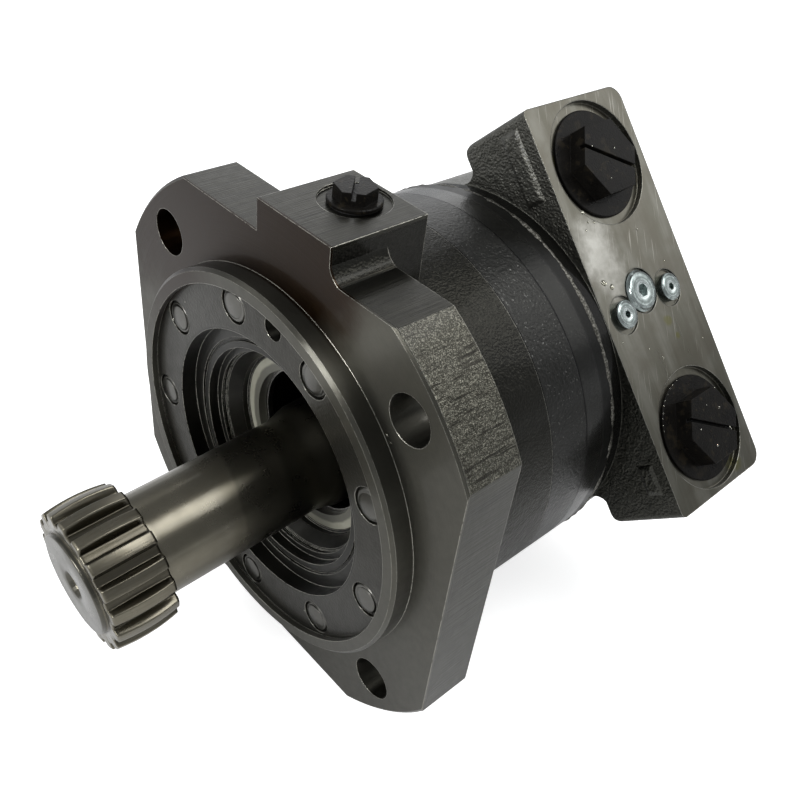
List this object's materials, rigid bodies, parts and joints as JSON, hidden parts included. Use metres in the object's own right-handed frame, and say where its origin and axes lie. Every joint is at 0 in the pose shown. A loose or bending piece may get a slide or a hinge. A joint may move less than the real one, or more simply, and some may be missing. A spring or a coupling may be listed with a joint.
{
  "type": "orbital hydraulic motor",
  "caption": "Bearingless orbital hydraulic motor: square ported end cover, round rotor sections, four-bolt pilot flange and a toothed drive link standing out of the front bore.",
  "frame": {"origin": "centre of the mounting face, on the shaft axis, at the foot of the pilot", "axes": "+X along the shaft towards the tip of the drive link, +Z towards the case drain port, +Y completes a right-handed frame; the motor lies with its shaft level"},
  "size_m": [0.2056, 0.1697, 0.1697],
  "materials": {
    "flange_iron": "machined front with cast sides, oiled",
    "section_iron": "blackened, oiled",
    "cover_iron": "dark casting with a milled port face, oiled",
    "link_steel": "hardened and oiled",
    "steel": "ground",
    "hard_steel": "ground, dark",
    "bolt_steel": "blackened, oiled",
    "washer": "plain",
    "zinc": "zinc plated",
    "guide": "filled plastic, pale",
    "plug": "moulded, black",
    "seal": "matt"
  },
  "bodies": {
    "motor": {"mounting_flange": "flange_iron", "guide_ring": "guide", "stop_ring": "steel", "wear_plate": "hard_steel", "stator_ring": "section_iron", "manifold_plate": "section_iron", "commutator_ring": "hard_steel", "end_cover": "cover_iron", "section_seals": "seal", "assembly_bolts": "bolt_steel", "seal_washers": "washer", "port_plug_a": "plug", "port_plug_b": "plug", "drain_plug": "plug", "drain_plug_seal": "seal", "relief_plug": "zinc", "relief_spring": "steel", "relief_poppet": "steel", "check_plug_a": "zinc", "check_plug_b": "zinc", "socket_plug_seals": "seal"},
    "orbit": {"commutator": "hard_steel", "commutator_seal": "guide"},
    "rotor": {"rotor": "steel"},
    "link": {"drive_link": "link_steel"},
    "valve_ball_a": {"check_ball_a": "steel"},
    "valve_ball_b": {"check_ball_b": "steel"},
    "roller_body_1": {"roller_1": "steel"},
    "roller_body_2": {"roller_2": "steel"},
    "roller_body_3": {"roller_3": "steel"},
    "roller_body_4": {"roller_4": "steel"},
    "roller_body_5": {"roller_5": "steel"},
    "roller_body_6": {"roller_6": "steel"},
    "roller_body_7": {"roller_7": "steel"},
    "roller_body_8": {"roller_8": "steel"},
    "roller_body_9": {"roller_9": "steel"}
  },
  "joints": [
    {"name": "orbit_turn", "type": "hinge", "parent": "motor", "child": "orbit", "pos_m": [0, 0, 0], "axis": [1, 0, 0], "continuous": true},
    {"name": "rotor_turn", "type": "hinge", "parent": "orbit", "child": "rotor", "pos_m": [-0.0628, 0, -0.0034], "axis": [1, 0, 0], "continuous": true},
    {"name": "link_tilt", "type": "hinge", "parent": "rotor", "child": "link", "pos_m": [-0.0628, 0, -0.0034], "axis": [0, -1, 0], "range_deg": [0, 6]},
    {"name": "roller_1_roll", "type": "hinge", "parent": "motor", "child": "roller_body_1", "pos_m": [-0.0628, 0.03686, 0.00323], "axis": [1, 0, 0], "continuous": true},
    {"name": "roller_2_roll", "type": "hinge", "parent": "motor", "child": "roller_body_2", "pos_m": [-0.0628, 0.02616, 0.02616], "axis": [1, 0, 0], "continuous": true},
    {"name": "roller_3_roll", "type": "hinge", "parent": "motor", "child": "roller_body_3", "pos_m": [-0.0628, 0.00323, 0.03686], "axis": [1, 0, 0], "continuous": true},
    {"name": "roller_4_roll", "type": "hinge", "parent": "motor", "child": "roller_body_4", "pos_m": [-0.0628, -0.02122, 0.03031], "axis": [1, 0, 0], "continuous": true},
    {"name": "roller_5_roll", "type": "hinge", "parent": "motor", "child": "roller_body_5", "pos_m": [-0.0628, -0.03574, 0.00958], "axis": [1, 0, 0], "continuous": true},
    {"name": "roller_6_roll", "type": "hinge", "parent": "motor", "child": "roller_body_6", "pos_m": [-0.0628, -0.03353, -0.01564], "axis": [1, 0, 0], "continuous": true},
    {"name": "roller_7_roll", "type": "hinge", "parent": "motor", "child": "roller_body_7", "pos_m": [-0.0628, -0.01564, -0.03353], "axis": [1, 0, 0], "continuous": true},
    {"name": "roller_8_roll", "type": "hinge", "parent": "motor", "child": "roller_body_8", "pos_m": [-0.0628, 0.00958, -0.03574], "axis": [1, 0, 0], "continuous": true},
    {"name": "roller_9_roll", "type": "hinge", "parent": "motor", "child": "roller_body_9", "pos_m": [-0.0628, 0.03031, -0.02122], "axis": [1, 0, 0], "continuous": true},
    {"name": "check_lift_a", "type": "slide", "parent": "motor", "child": "valve_ball_a", "axis": [0, 0.7218, 0.6921], "range_m": [0, 0.0015]},
    {"name": "check_lift_b", "type": "slide", "parent": "motor", "child": "valve_ball_b", "axis": [0, 0.7218, 0.6921], "range_m": [0, 0.0015]}
  ],
  "couplings": [
    {"joint": "rotor_turn", "follows": "orbit_turn", "ratio": -1.125},
    {"joint": "roller_1_roll", "follows": "orbit_turn", "ratio": 0.73},
    {"joint": "roller_2_roll", "follows": "orbit_turn", "ratio": 0.73},
    {"joint": "roller_3_roll", "follows": "orbit_turn", "ratio": 0.73},
    {"joint": "roller_4_roll", "follows": "orbit_turn", "ratio": 0.73},
    {"joint": "roller_5_roll", "follows": "orbit_turn", "ratio": 0.73},
    {"joint": "roller_6_roll", "follows": "orbit_turn", "ratio": 0.73},
    {"joint": "roller_7_roll", "follows": "orbit_turn", "ratio": 0.73},
    {"joint": "roller_8_roll", "follows": "orbit_turn", "ratio": 0.73},
    {"joint": "roller_9_roll", "follows": "orbit_turn", "ratio": 0.73}
  ]
}
